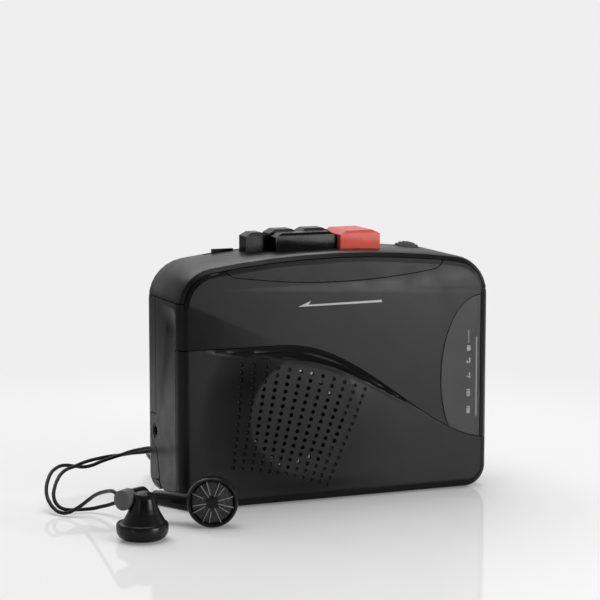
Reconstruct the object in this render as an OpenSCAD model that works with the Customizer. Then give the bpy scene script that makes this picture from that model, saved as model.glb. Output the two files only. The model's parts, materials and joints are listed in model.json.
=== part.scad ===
/* [Body] */
// Width of the body
body_w = 118; // [112:1:130]
// Depth of the body, front to back
body_d = 36; // [34:1:42]
// Height of the body at the middle of its top
body_h = 88; // [86:1:96]
// Radius of the two top corners
top_r = 14; // [10:1:18]
// Radius of the two bottom corners
foot_r = 8; // [6:1:10]
// Radius of the shallow crown of the top
crown_r = 320; // [250:10:600]
// Rounding of the front and back edges
edge_r = 3.6; // [3:0.1:4.4]
// Wall of the covers and the cabinet
wall = 1.8; // [1.5:0.1:2.2]
// Gap left at the seams between the covers
seam = 0.3; // [0.2:0.05:0.5]

/* [Front] */
// Height of the curved seam at the left end
wave_hi = 56.3; // [54:0.5:60]
// Height of the curved seam at the right end
wave_lo = 18.3; // [14:0.5:24]
// Thickness of the speaker wall
grille_t = 2.4; // [2:0.1:3]
// Depth of the scoop round the speaker disc
scoop_t = 1.3; // [0.8:0.1:1.5]
// Radius of the raised speaker disc
disc_r = 21.5; // [20:0.5:23]
// Diameter of a speaker hole
hole_d = 1.5; // [1.2:0.1:1.8]
// Number of hole columns
hole_cols = 12; // [8:1:12]
// Number of hole rows
hole_rows = 15; // [9:1:15]

/* [Keys and wheels] */
// Travel of the keys
key_travel = 4; // [2:0.5:4]
// Height of the keys above the top
key_rise = 5.8; // [4:0.2:8]
// Clearance round each key
key_gap = 0.35; // [0.25:0.05:0.5]
// Radius of the volume wheel
volume_r = 7.5; // [7:0.25:8]
// Radius of the tuning wheel
tuning_r = 11; // [10:0.25:11]

/* [Mechanism] */
// Distance between the two reel hubs
hub_pitch = 42.5; // [42:0.1:43]
// Radius of the flywheel
flywheel_r = 14; // [11:0.5:14]
// Radius of the motor
motor_r = 11; // [9:0.5:11]
// Radius of the speaker
speaker_r = 18; // [16:0.5:18.5]
// Diameter of the capstan shaft
capstan_d = 2; // [1.6:0.1:2.4]
// Running clearance of a shaft in its hole
run = 0.05; // [0.03:0.01:0.08]

/* [Earphones] */
// Diameter of the cord from the plug to the splitter
cord_d = 2.2; // [1.8:0.1:2.4]
// Diameter of the lead to each earbud
lead_d = 1.3; // [1.1:0.1:1.5]
// Radius of an earbud
bud_r = 8.5; // [7.5:0.25:9]

/* [Hidden] */
$fn = 64;

// ---- colours
panel_col = [0.22, 0.22, 0.23];
shell_col = [0.12, 0.12, 0.13];
trim_col = [0.16, 0.16, 0.17];
key_col = [0.15, 0.15, 0.16];
red_col = [0.86, 0.27, 0.22];
steel_col = [0.72, 0.73, 0.75];
brass_col = [0.78, 0.62, 0.32];
board_col = [0.12, 0.38, 0.22];
rubber_col = [0.08, 0.08, 0.08];
cream_col = [0.85, 0.83, 0.76];

// ---- outline of the body in the X-Z plane
half_w = body_w / 2;
half_d = body_d / 2;
foot_x = half_w - foot_r;
corner_x = half_w - top_r;
crown_z = body_h - crown_r;
corner_z = crown_z + sqrt(pow(crown_r - top_r, 2) - pow(corner_x, 2));
crown_a = asin(corner_x / (crown_r - top_r));
corner_n = 7;
crown_n = 8;

function arc(cx, cz, r, a0, a1, n) =
    [for (i = [0:n]) let (a = a0 + (a1 - a0) * i / n) [cx + r * cos(a), cz + r * sin(a)]];
// outline moved inwards by t: two feet, two top corners and the crown between them
function outline(t) = concat(
    arc(foot_x, foot_r, foot_r - t, -90, 0, corner_n),
    arc(corner_x, corner_z, top_r - t, 0, 90 - crown_a, corner_n),
    [for (i = [1:crown_n - 1]) let (a = 90 - crown_a + 2 * crown_a * i / crown_n)
        [(crown_r - t) * cos(a), crown_z + (crown_r - t) * sin(a)]],
    arc(-corner_x, corner_z, top_r - t, 90 + crown_a, 180, corner_n),
    arc(-foot_x, foot_r, foot_r - t, 180, 270, corner_n));
function crown(x) = crown_z + sqrt(pow(crown_r, 2) - x * x);
function smooth(u) = u * u * (3 - 2 * u);
function clamp(v) = max(0, min(1, v));

// ---- places that several pieces share
front_y = -half_d;
back_y = half_d;
part_y = front_y + 4.5;              // seam between the front covers and the frame
door_y = 7.8;                        // front edge of the cassette door
cap_z = corner_z + 1.8;              // lower edge of the top cover
rest_y = front_y + 2.4;              // front face of the inner partition
rest_t = 1.2;                        // its thickness
bay_y = 2;                           // rear face of the chassis plate
plate_t = 1.2;                       // its thickness
hinge_y = 11.5;
hinge_z = 9;
barrel_r = 6.5;                      // rounded foot of the door, about the hinge
pin_r = 1.25;
speaker_x = -16.5;
speaker_z = 30.4;
disc_x = -13.5;
disc_z = 31;
hub_x = hub_pitch / 2;
hub_z = 34.5;
capstan_x = hub_x - 0.85;
capstan_z = 60;
motor_x = half_w - 25;
motor_z = 20;
jack_y = 8.8;
jack_z = 24.2;
tuning_x = half_w - 0.2 - tuning_r;
tuning_z = 40.8;
volume_x = half_w - 20.5;
volume_z = crown(volume_x) + 1.8 - volume_r;

// ---- helpers: an X-Z drawing between two depths, a Y-Z drawing between two sides
module prism(y0, y1) translate([0, y1, 0]) rotate([90, 0, 0]) linear_extrude(y1 - y0) children();
module side_prism(x0, x1) translate([x0, 0, 0]) rotate([90, 0, 90]) linear_extrude(x1 - x0) children();
module rod_y(x, z, r, y0, y1) translate([x, y0, z]) rotate([-90, 0, 0]) cylinder(r = r, h = y1 - y0);
module rod_x(y, z, r, x0, x1) translate([x0, y, z]) rotate([0, 90, 0]) cylinder(r = r, h = x1 - x0);
module box(x0, x1, y0, y1, z0, z1) translate([x0, y0, z0]) cube([x1 - x0, y1 - y0, z1 - z0]);
module both_sides() for (s = [0, 1]) mirror([s, 0, 0]) children();

// a block lofted through outlines: each ring is [depth, inset]
module loft(rings) {
    n = len(outline(0));
    pts = [for (r = rings) for (p = outline(r[1])) [p[0], r[0], p[1]]];
    last = (len(rings) - 1) * n;
    faces = concat(
        [[for (i = [n - 1:-1:0]) i]],
        [for (k = [0:len(rings) - 2]) for (i = [0:n - 1])
            let (j = (i + 1) % n) [k * n + i, k * n + j, (k + 1) * n + j, (k + 1) * n + i]],
        [[for (i = [0:n - 1]) last + i]]);
    polyhedron(pts, faces, convexity = 4);
}
edge_a = [0, 30, 60, 90];
function front_rings(y, t, e) = [for (a = edge_a) [y + e * (1 - cos(a)), t + e * (1 - sin(a))]];
function back_rings(y, t, e) = [for (a = [90, 60, 30, 0]) [y - e * (1 - cos(a)), t + e * (1 - sin(a))]];
module tray(front_t, y1) difference() {
    loft(concat(front_rings(front_y, 0, edge_r), [[y1, 0]]));
    loft(concat(front_rings(front_y + front_t, wall, edge_r - wall), [[y1 + 1, wall]]));
}
module back_block() loft(concat([[0, 0]], back_rings(back_y, 0, edge_r)));

// ---- curves of the front, as drawings in the X-Z plane
wave_x0 = -22;
wave_x1 = 60;
function wave(x) = wave_hi - (wave_hi - wave_lo)
    * smooth(pow(clamp((x - wave_x0) / (wave_x1 - wave_x0)), 1.1));
module below_wave(drop) polygon(concat(
    [[-body_w, -10], [body_w, -10]],
    [for (x = [body_w, for (i = [60:-3:-24]) i, -body_w]) [x, wave(x) - drop]]));
module above_wave(lift) difference() {
    translate([-body_w, 0]) square([2 * body_w, 2 * body_w]);
    below_wave(-lift);
}
brow_z = 77.8;                       // lowest point of the brow
brow_r = 240;
brow_in = [-37.5, 36];               // where its lower arc ends
brow_end = [5.2, 4.6];               // radii of its two ends
function brow_arc(x, g) = brow_z + brow_r - sqrt(pow(brow_r + g, 2) - x * x);
module brow_shape(g) polygon(concat(
    [[brow_in[0] - brow_end[0] - g, 95]],
    arc(brow_in[0], brow_arc(brow_in[0], 0) + brow_end[0], brow_end[0] + g, 180, 262, 4),
    [for (i = [1:7]) let (x = brow_in[0] + (brow_in[1] - brow_in[0]) * i / 8) [x, brow_arc(x, g)]],
    arc(brow_in[1], brow_arc(brow_in[1], 0) + brow_end[1], brow_end[1] + g, 278, 360, 4),
    [[brow_in[1] + brow_end[1] + g, 95]]));
lens_x = half_w - 3.6;               // straight right edge of the dial window
lens_z = 41;
lens_a = 15.4;
lens_b = 29.3;
module lens_shape(g) intersection() {
    translate([lens_x + g, lens_z]) polygon(concat([[0, -lens_b - 5]],
        [for (a = [90:7.5:270]) [(lens_a + 2 * g) * cos(a), (lens_b + g) * sin(a)]]));
    above_wave(seam / 2 - g);
}

// ---- covers of the front
fan_x = -50.3;                       // the speaker holes lie on a fan about this point
fan_z = -104.1;
fan_r = 118.9;
row_pitch = 2.6;
fan_a = 5.05;
col_pitch = 1.59;
function fan(i, j) = let (r = fan_r + i * row_pitch, a = fan_a + j * col_pitch)
    [fan_x + r * sin(a), fan_z + r * cos(a)];
function ridge(x) = wave(x) - 4.9 * sin(180 * clamp((x + 52) / 82));
// the scoop is a hollow ring round the disc, tilted so that it is deepest on the left and runs out on the right
scoop_r = 14;                        // radius of its section
scoop_mid = disc_r + 7.6;            // radius at its middle
scoop_dir = 165;                     // direction of its deepest place
scoop_low = scoop_t * 0.45;          // mean depth
scoop_tilt = atan((scoop_t - scoop_low) / scoop_mid);
function scoop_depth(p) = let (d = p - [disc_x, disc_z], r = norm(d), a = atan2(d[1], d[0]) - scoop_dir)
    max(0, scoop_low + (scoop_t - scoop_low) * cos(a) - scoop_r + sqrt(pow(scoop_r, 2) - pow(min(scoop_r, abs(r - scoop_mid)), 2)));
module scoop() intersection() {
    translate([disc_x, front_y, disc_z]) rotate([0, -scoop_dir, 0]) rotate([0, 0, scoop_tilt]) rotate([90, 0, 0])
        translate([0, 0, scoop_r - scoop_low]) rotate_extrude($fn = 96) translate([scoop_mid, 0]) circle(r = scoop_r, $fn = 96);
    prism(front_y - 5, part_y) polygon(concat([for (i = [0:12]) let (x = -54 + 80 * i / 12) [x, ridge(x)]],
        [[26, 2], [-54, 2]]));
}
module front_shell() color(shell_col) difference() {
    union() {
        intersection() {
            tray(grille_t, part_y - seam / 2);
            prism(front_y - 1, part_y) below_wave(seam / 2);
        }
        // ring that the speaker sits in
        difference() {
            rod_y(speaker_x, speaker_z, speaker_r + 1.5, front_y + grille_t - 0.2, part_y + 1.5);
            rod_y(speaker_x, speaker_z, speaker_r + 0.15, front_y + grille_t - 1, part_y + 2);
        }
    }
    scoop();
    for (i = [0:hole_rows - 1], j = [0:hole_cols - 1]) let (p = fan(i, j))
        let (open = norm(p - [speaker_x, speaker_z]) < speaker_r - 1)
            rod_y(p[0], p[1], hole_d / 2, front_y - 1, front_y + (open ? grille_t + 1 : scoop_depth(p) + 0.5));
}
module panel_shape() difference() {
    intersection() {
        above_wave(seam / 2);
        union() {
            translate([-body_w, 0]) square([2 * body_w, cap_z - seam]);
            polygon(outline(wall + seam));
        }
    }
    brow_shape(seam);
    lens_shape(0.4);
}
snap_x = [6, 30];                    // legs that hold the battery cover
module front_panel() color(panel_col) {
    intersection() {
        tray(wall, part_y - seam / 2);
        prism(front_y - 1, part_y) panel_shape();
    }
    for (x = snap_x) box(x, x + 1.4, front_y + wall - 0.2, rest_y + rest_t + 2, 66, 72);
}
module brow_trim() color(trim_col) {
    intersection() {
        tray(wall, part_y - seam / 2);
        prism(front_y - 1, part_y - 1) intersection() {
            brow_shape(0);
            polygon(outline(wall + seam));
        }
    }
    for (x = [-28, 28]) box(x - 2, x + 2, front_y + wall - 0.2, rest_y, 81, 83);
}
module dial_lens() color([0.3, 0.3, 0.32, 0.6]) prism(front_y, front_y + 1.2) lens_shape(0);
pointer_x = tuning_x + 6.1;
pointer_lo = 26;
pointer_run = 29;
module dial_plate() color([0.2, 0.2, 0.21]) difference() {
    prism(rest_y - 0.6, rest_y) lens_shape(-1);
    box(pointer_x - 0.6, pointer_x + 0.3, rest_y - 2, rest_y + 1, pointer_lo - 1.3, pointer_lo + pointer_run + 1.3);
}

// ---- top cover
key_x0 = -27;                        // the keys stand in one opening
key_x1 = 20.6;
key_y0 = -7;
key_mid = 2.2;
key_y1 = 9;
wheel_y0 = 9;
wheel_y1 = 12;
knob_x = -32;
knob_y = 13;
knob_w = 8;
knob_run = 3;
phones_x = half_w - 9;
phones_z = 76;
light_x = half_w - 14.4;
light_y = 5.2;
mic_x = half_w - 10.4;
mic_y = 5.2;
module key_opening() {
    box(key_x0 - key_gap, key_x1 + key_gap, key_mid - key_gap, key_y1 + key_gap, 70, 100);
    box(key_w[3][0] - key_gap, key_x1 + key_gap, key_w[3][2] - key_gap, key_mid, 70, 100);
    box(key_w[4][0] - key_gap, key_x1 + key_gap, key_y0 - key_gap, key_mid, 70, 100);
}
module top_cover() color(trim_col) difference() {
    union() {
        difference() {
            loft(concat(front_rings(front_y, 0, edge_r), back_rings(back_y, 0, edge_r)));
            translate([-body_w, -body_w, -50]) cube([2 * body_w, 2 * body_w, 50 + cap_z]);
            prism(front_y - 1, back_y - wall) polygon(outline(wall));
        }
        // rib that carries the volume control
        box(volume_x - 4.5, volume_x + 4.5, 3, 4.2, volume_z - 4, crown(volume_x + 4.5) - 1);
    }
    key_opening();
    rod_y(volume_x, volume_z, volume_r + 0.5, wheel_y0 - 0.4, wheel_y1 + 0.4);
    box(knob_x - knob_w / 2 - knob_run - 0.3, knob_x + knob_w / 2 + knob_run + 0.3, knob_y - 0.9, knob_y + 0.9, 75, 95);
    rod_y(phones_x, phones_z, 2.3, 14, 20);
    translate([light_x, light_y, 75]) cylinder(r = 0.8, h = 20);
    translate([mic_x, mic_y, 75]) cylinder(r = 0.6, h = 20);
}

// ---- cabinet frame
lobe_r = 8.2;
module lobe_shape(g) intersection() {
    translate([5.6, 26]) circle(lobe_r + g);
    translate([0, 15]) square([20, 15.2 + g]);
}
lip_y = front_y + 3.4;
post_y = rest_y + 3.7;
board_x = [3, tuning_x - 7.8];
board_posts = [for (x = [board_x[0] + 3, board_x[1] - 3], z = [48, 76]) [x, z]];
chassis_z = [18, 66];
pinion_y0 = rest_y + rest_t + 0.2;
pinion_y1 = pinion_y0 + 1.5;
gang_y0 = pinion_y1 + 0.5;
gang_y1 = gang_y0 + 5.6;
tuning_y0 = gang_y1 + 1.1;
tuning_y1 = tuning_y0 + 3.5;
gang_x = tuning_x + 7.2;
module lip_shape() {
    intersection() {
        ring_shape(wall - 0.2, wall + 1.6);
        translate([-body_w, -1]) square([2 * body_w, 1 + cap_z - seam]);
    }
    ring_shape(wall + 0.1, wall + 1.6);
}
module ring_shape(t0, t1) difference() {
    polygon(outline(t0));
    polygon(outline(t1));
}
cell_len = 44.5;
well_x0 = -half_w + 6;
well_x1 = well_x0 + cell_len + 6;
well_z0 = 58;
well_z1 = 80;
well_y = rest_y + 11.8;
ear_x = half_w - 6;
side_post_x = half_w - 5;
module center_frame() color(trim_col) difference() {
    union() {
        // side walls and floor
        difference() {
            intersection() {
                prism(part_y + seam / 2, door_y - seam) ring_shape(0, wall);
                box(-body_w, body_w, -body_d, body_d, -1, cap_z - seam);
            }
            // the door swings up past this edge
            side_prism(-body_w, body_w) polygon([[2.4, -1], [4.0, 6], [4.6, 11], [7.5, 19], [30, 19], [30, -1]]);
        }
        // lobes that carry the sockets
        side_prism(-half_w, -half_w + wall) lobe_shape(0);
        // lip and partition behind the front covers
        prism(part_y + seam / 2, part_y + 2.6) lip_shape();
        prism(lip_y, part_y + 2.6) ring_shape(wall + 0.6, wall + 1.6);
        prism(rest_y, rest_y + rest_t) {
            intersection() {
                polygon(outline(wall + 0.6));
                above_wave(0.3);
            }
            intersection() {
                polygon(outline(wall + 2));
                above_wave(-3);
            }
        }
        prism(rest_y + rest_t - 0.2, post_y) for (p = board_posts) translate(p) circle(r = 2);
        // frame of the dial window
        prism(front_y + 1.2, rest_y + 0.1) difference() {
            lens_shape(0);
            lens_shape(-0.8);
        }
        // battery well
        intersection() {
            box(well_x0 - 1, well_x1 + 1, rest_y + 0.2, well_y + 1, well_z0 - 1, well_z1 + 1);
            prism(front_y, 0) polygon(outline(wall + 0.9));
        }
        // posts for the chassis
        both_sides() for (z = chassis_z) {
            rod_y(side_post_x, z, 2.4, -9, bay_y - plate_t);
            box(side_post_x, half_w - wall + 0.2, -9, bay_y - plate_t, z - 1.2, z + 1.2);
        }
        // ears for the hinge pins
        box(-half_w + 9, half_w - 9, 0, 6.4, 0, 1.6);
        // seat of the tuning capacitor
        box(gang_x, half_w - wall + 0.2, gang_y0 + 0.6, gang_y1 - 0.6, tuning_z - 5, tuning_z + 5);
        both_sides() {
            rod_x(hinge_y, hinge_z, 3, ear_x, ear_x + 1.8);
            box(ear_x, ear_x + 1.8, 0, hinge_y, hinge_z - 3, hinge_z + 3);
            box(ear_x, half_w - 1, 0, 4, hinge_z - 3, hinge_z + 3);
        }
    }
    intersection() {
        box(well_x0, well_x1, rest_y - 1, well_y, well_z0, well_z1);
        prism(front_y, 0) polygon(outline(wall + 1.9));
    }
    for (x = snap_x) box(x - 0.4, x + 1.8, rest_y - 1, rest_y + rest_t + 1, 65.4, 72.6);
    // room for the play key when it is pressed
    box(key_w[3][0] - 0.4, key_w[3][1] + 0.4, key_w[3][2] - 1.4, bay_y, key_foot - key_run - 0.4, body_h);
    box(pointer_x - 1.6, pointer_x + 2.2, rest_y - 0.1, rest_y + rest_t + 0.1, pointer_lo - 2, pointer_lo + pointer_run + 8);
    // the tuning wheel shows through the right wall
    rod_y(tuning_x, tuning_z, tuning_r + 0.5, tuning_y0 - 0.4, tuning_y1 + 0.4);
    both_sides() rod_x(hinge_y, hinge_z, pin_r + 0.02, ear_x - 1, ear_x + 3);
    rod_x(jack_y, jack_z, 2.6, -half_w - 1, -half_w + wall + 1);
    both_sides() for (z = chassis_z) rod_y(side_post_x, z, screw_r + 0.05, -4.5, bay_y);
    // thumb scoop beside the battery cover, finger scoop round the tuning wheel
    translate([-half_w - 20, -9.4, 64]) sphere(r = 20.9, $fn = 96);
    translate([half_w + 12.6, (tuning_y0 + tuning_y1) / 2, tuning_z]) sphere(r = 14, $fn = 96);
}

// ---- cassette door
win_x = half_w - 22;
win_z0 = 19;
win_z1 = 55;
module door_profile(r, y1) {
    polygon([[hinge_y - r, hinge_z], [y1, hinge_z], [y1, 100], [door_y, 100], [door_y, 18.4]]);
    intersection() {
        translate([hinge_y, hinge_z]) circle(r);
        translate([0, -50]) square([y1, 50 + hinge_z + 0.1]);
    }
}
module cassette_door() color(shell_col) difference() {
    union() {
        difference() {
            intersection() {
                back_block();
                side_prism(-body_w, body_w) door_profile(barrel_r, body_d);
                box(-body_w, body_w, 0, body_d, -1, cap_z - seam);
            }
            intersection() {
                prism(0, back_y - wall) polygon(outline(wall));
                union() {
                    box(-body_w, body_w, 0, body_d, hinge_z, 100);
                    rod_x(hinge_y, hinge_z, barrel_r - wall, -body_w, body_w);
                    box(-hold_x, hold_x, 0, tape_y1, 5, 100);
                }
            }
            side_prism(-body_w, 0) lobe_shape(0.35);
        }
        both_sides() rod_x(hinge_y, hinge_z, 2.7, ear_x + 2.2, half_w - wall + 0.2);
    }
    both_sides() rod_x(hinge_y, hinge_z, pin_r + run, ear_x, half_w - wall - 0.3);
    // room for the ears of the frame
    both_sides() box(ear_x - 0.4, ear_x + 2.2, 0, hinge_y - 1.2, 0, 20);
    box(-win_x, win_x, back_y - wall - 1, back_y + 1, win_z0, win_z1);
    box(-win_x - 2, win_x + 2, back_y - wall - 1, back_y - 0.6, win_z0 - 2, win_z1 + 2);
}
module door_window() color([0.5, 0.5, 0.55, 0.35]) {
    box(-win_x - 1.9, win_x + 1.9, back_y - wall, back_y - 0.6, win_z0 - 1.9, win_z1 + 1.9);
    box(-win_x + 0.1, win_x - 0.1, back_y - 0.7, back_y - 0.1, win_z0 + 0.1, win_z1 - 0.1);
}
hold_x = half_w - 8.1;
tape_y1 = 14.6;
module cassette_holder() color(steel_col) intersection() {
    both_sides() {
        box(hold_x, hold_x + 0.8, 5.6, back_y, 4.8, 56);
        box(hold_x - 16, hold_x + 0.8, back_y - wall - 0.8, back_y, 57, 66);
        box(hold_x - 9, hold_x + 0.8, 5.6, back_y, 4.8, 5.6);
        box(hold_x, hold_x + 0.8, back_y - wall - 4, back_y, 4.8, 66);
    }
    union() {
        box(-body_w, body_w, 0, back_y - wall, hinge_z, 100);
        rod_x(hinge_y, hinge_z, barrel_r - wall - 0.05, -body_w, body_w);
    }
}
module hinge_pins() color(steel_col) both_sides() rod_x(hinge_y, hinge_z, pin_r, ear_x - 0.4, half_w - wall - 0.6);

// ---- keys: left, right, front, back, rise above the top
key_w = [[-27, -18.4, 2.2, 9, 0], [-18.1, -6.8, 2.2, 9, 0.8], [-6.5, 5.1, 2.2, 9, 0.8],
    [-18.1, 5.1, -4.2, 1.9, 0], [5.4, 20.6, -7, 9, 0.3]];
key_foot = 82.8;                     // underside of a key at rest
key_run = 4;                         // travel of a key
stem_z = 76.4;
stem_y = 3.6;
stem_x = [-25.8, -11.4, 1.3, -7.6, 9.6];
stem_w = 3;
stem_t = 1.2;
latch_z = 77;                        // underside of the key bracket
play_y = -0.8;
key_nip = [2.6, 1.3];                // width and drop of the sloped ends of a key
module key_block(i, front_lip, back_lip) {
    k = key_w[i];
    top = body_h + key_rise + k[4];
    intersection() {
        prism(k[2], k[3]) polygon([[k[0], key_foot], [k[1], key_foot], [k[1], top - key_nip[1]],
            [k[1] - key_nip[0], top], [k[0] + key_nip[0], top], [k[0], top - key_nip[1]]]);
        // sloped front edge of the top
        side_prism(k[0] - 1, k[1] + 1) polygon([[k[2] - 1, key_foot], [k[3] + 1, key_foot],
            [k[3] + 1, top + 1], [k[2] + 2, top + 1], [k[2], top - 1]]);
    }
    box(k[0], k[1], k[2] - front_lip, k[3] + back_lip, key_foot, key_foot + 1.2);
}
module stem(i) box(stem_x[i], stem_x[i] + stem_w, stem_y, stem_y + stem_t, stem_z, key_foot + 0.2);
module stop_eject_key() color(key_col) { key_block(0, 0, 1); stem(0); }
module rewind_key() color(key_col) { key_block(1, 0, 1); stem(1); }
module fast_forward_key() color(key_col) { key_block(2, 0, 1); stem(2); }
module play_key() color(key_col) {
    key_block(3, 1, 0);
    box(stem_x[3], stem_x[3] + stem_w, play_y, play_y + stem_t, stem_z, key_foot + 0.2);
}
module record_key() color(red_col) { key_block(4, 1, 1); stem(4); }
module key_bracket() color(steel_col) difference() {
    box(-31, 15.5, bay_y, 9, latch_z, latch_z + plate_t);
    for (i = [0, 1, 2, 4]) box(stem_x[i] - 0.3, stem_x[i] + stem_w + 0.3, stem_y - 0.3, stem_y + stem_t + 0.3, latch_z - 1, latch_z + 2);
}

// ---- volume, function switch, light and microphone
module knurl(r, n, depth) difference() {
    circle(r = r, $fn = 72);
    for (i = [0:n - 1]) rotate(i * 360 / n) translate([r + 0.2, 0]) circle(r = depth, $fn = 8);
}
module volume_wheel() color(shell_col) {
    translate([volume_x, wheel_y1, volume_z]) rotate([90, 0, 0]) linear_extrude(wheel_y1 - wheel_y0) knurl(volume_r, 30, 0.55);
    rod_y(volume_x, volume_z, 2, 5, wheel_y0 + 0.1);
}
module volume_control() color(steel_col) difference() {
    rod_y(volume_x, volume_z, 3.6, 4.2, 8.4);
    rod_y(volume_x, volume_z, 2 + run, 4.6, 9);
}
module function_knob() color(shell_col) {
    box(knob_x - knob_w / 2, knob_x + knob_w / 2, knob_y - 0.6, knob_y + 0.6, 82.5, crown(knob_x) + 1);
    box(knob_x - knob_w / 2 - 4, knob_x + knob_w / 2 + 4, knob_y - 2, knob_y + 2, 82, 82.8);
    box(knob_x - 1, knob_x + 1, knob_y - 0.6, knob_y + 0.6, 79, 82.1);
}
module function_switch() color(steel_col) difference() {
    box(knob_x - 7, knob_x + 7, 10.4, back_y - wall, 76, 81.7);
    box(knob_x - 5, knob_x + 5, knob_y - 1, knob_y + 1, 78, 82);
}
module microphone() color(steel_col) {
    translate([mic_x, mic_y, 79.4]) cylinder(r = 1.8, h = 2.1);
}
module power_light() color([0.7, 0.1, 0.1]) {
    translate([light_x, light_y, 79]) cylinder(r = 0.7, h = crown(light_x) - 79);
    translate([light_x, light_y, 78]) cylinder(r = 1.4, h = 3.6);
}

// ---- sockets
module power_jack() color(rubber_col) {
    difference() {
        union() {
            rod_x(jack_y, jack_z, 3.6, -half_w + wall, -half_w + 6.8);
            rod_x(jack_y, jack_z, 2.5, -half_w + 0.2, -half_w + wall + 0.1);
        }
        rod_x(jack_y, jack_z, 1.75, -half_w - 1, -half_w + 6);
    }
    rod_x(jack_y, jack_z, 0.65, -half_w + 1, -half_w + 6.4);
}
plug_r = 1.75;
module headphone_jack() color(rubber_col) difference() {
    union() {
        rod_y(phones_x, phones_z, 3.2, 3, back_y - wall);
        rod_y(phones_x, phones_z, 2.2, back_y - wall - 0.1, back_y);
    }
    rod_y(phones_x, phones_z, plug_r + run, 3.8, back_y + 1);
}

// ---- speaker
module speaker_frame() color(steel_col) translate([speaker_x, rest_y, speaker_z]) rotate([-90, 0, 0]) rotate_extrude()
    polygon([[15.6, 0], [speaker_r, 0], [speaker_r, 1.2], [16.6, 1.2], [10.5, 7.2], [9.2, 7.2], [9.2, 11.2], [0, 11.2], [0, 10], [8, 10], [8, 6], [9.8, 6], [15.6, 1.2]]);
module speaker_cone() color([0.1, 0.1, 0.1]) translate([speaker_x, rest_y, speaker_z]) rotate([-90, 0, 0]) rotate_extrude()
    polygon([[0, 1.6], [2, 1.8], [4, 2.8], [4.4, 3.4], [13, 0.3], [15.2, 0.3], [15.2, 1.2], [13.4, 1.2], [4.6, 4.4], [3.4, 4.4], [2.6, 3], [0, 2.4]]);

// ---- tuning
module tuning_wheel() color(shell_col) {
    translate([tuning_x, tuning_y1, tuning_z]) rotate([90, 0, 0]) linear_extrude(tuning_y1 - tuning_y0) knurl(tuning_r, 44, 0.6);
    rod_y(tuning_x, tuning_z, 2, pinion_y0, tuning_y0 + 0.1);
    rod_y(tuning_x, tuning_z, pinion_r, pinion_y0, pinion_y1);
}
pinion_r = 5.9;
module tuning_capacitor() color(cream_col) difference() {
    box(tuning_x - 7.2, gang_x, gang_y0, gang_y1, tuning_z - 7.2, tuning_z + 7.2);
    rod_y(tuning_x, tuning_z, 2 + run, gang_y0 - 1, gang_y1 + 1);
}
module dial_pointer() color([0.9, 0.35, 0.1]) {
    // blade, the arm behind it and the rack
    box(pointer_x - 0.4, pointer_x + 0.1, rest_y - 0.5, rest_y + 0.6, pointer_lo - 1, pointer_lo + 1);
    box(pointer_x - 0.4, pointer_x + 1.3, rest_y + 0.5, rest_y + 0.9, pointer_lo - 1, pointer_lo + 1);
    box(pointer_x + 0.3, pointer_x + 1.3, rest_y + 0.8, pinion_y0 + 0.1, pointer_lo - 1, pointer_lo + 1);
    box(pointer_x + 0.15, pointer_x + 1.3, pinion_y0, pinion_y1, pointer_lo - 15.5, tuning_z + 1.5);
}

// ---- circuit board
board_t = 1.2;
module circuit_board() color(board_col) {
    difference() {
        box(board_x[0], board_x[1], post_y, post_y + board_t, 45, 79);
        for (p = board_posts) rod_y(p[0], p[1], 0.8, post_y - 1, post_y + board_t + 1);
    }
    for (c = [[10, 54, 2.2, 2.6], [18, 52, 2.5, 2.9], [26, 56, 2, 2.4], [12, 68, 2.5, 2.9], [32, 66, 2.2, 2.8]])
        rod_y(c[0], c[1], c[2], post_y + board_t - 0.1, post_y + board_t + c[3]);
    for (c = [[16, 58, 10, 6], [20, 68, 7, 7], [29, 72, 5, 5], [8, 60, 5, 4]])
        box(c[0], c[0] + c[2], post_y + board_t - 0.1, post_y + board_t + 2, c[1], c[1] + c[3]);
}

// ---- batteries
cell_r = 5.25;
cell_x0 = well_x0 + 4.1;
cell_y = rest_y + 5.7;
cell_z = [63.9, 74.6];
module battery_cells() color([0.35, 0.36, 0.4]) {
    rod_x(cell_y, cell_z[0], cell_r, cell_x0 + 1, cell_x0 + cell_len);
    rod_x(cell_y, cell_z[0], 1.9, cell_x0, cell_x0 + 1.1);
    rod_x(cell_y, cell_z[1], cell_r, cell_x0, cell_x0 + cell_len - 1);
    rod_x(cell_y, cell_z[1], 1.9, cell_x0 + cell_len - 1.1, cell_x0 + cell_len);
}
module battery_contacts() color(steel_col) {
    box(cell_x0 + cell_len + 0.05, cell_x0 + cell_len + 0.45, cell_y - 3.6, cell_y + 3.6, 59, 79.4);
    box(cell_x0 - 0.45, cell_x0 - 0.05, cell_y - 3, cell_y + 3, 61, 77);
}

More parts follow.
